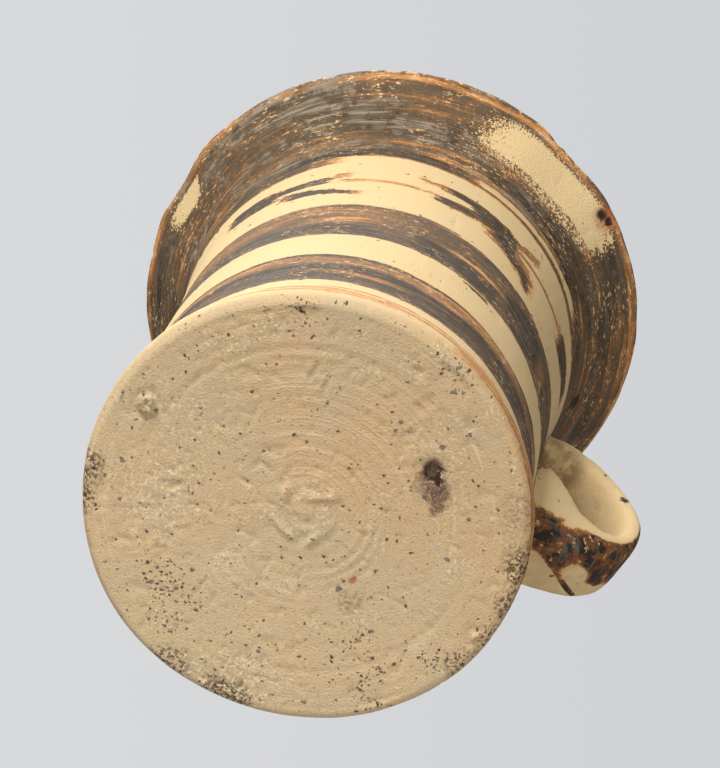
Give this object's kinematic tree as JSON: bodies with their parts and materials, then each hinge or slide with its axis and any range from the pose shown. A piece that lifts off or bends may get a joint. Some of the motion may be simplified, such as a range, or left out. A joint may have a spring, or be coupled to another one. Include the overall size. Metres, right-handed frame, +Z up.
{
  "type": "kyathos",
  "caption": "Banded pottery drinking cup with a flat foot, hollowed walls, a flaring mouth and a vertical strap handle looped at mid height.",
  "frame": {"origin": "centre of the flat underside, on the axis of the turned cup", "axes": "+Z up along the cup's axis to the mouth, +X towards the handle, +Y completes a right-handed frame"},
  "size_m": [0.0974, 0.089, 0.102],
  "materials": {
    "clay": "matt buff fired clay with brushed dark brown to orange slip bands, worn and pitted"
  },
  "bodies": {
    "root": {"kyathos": "clay"}
  },
  "joints": []
}
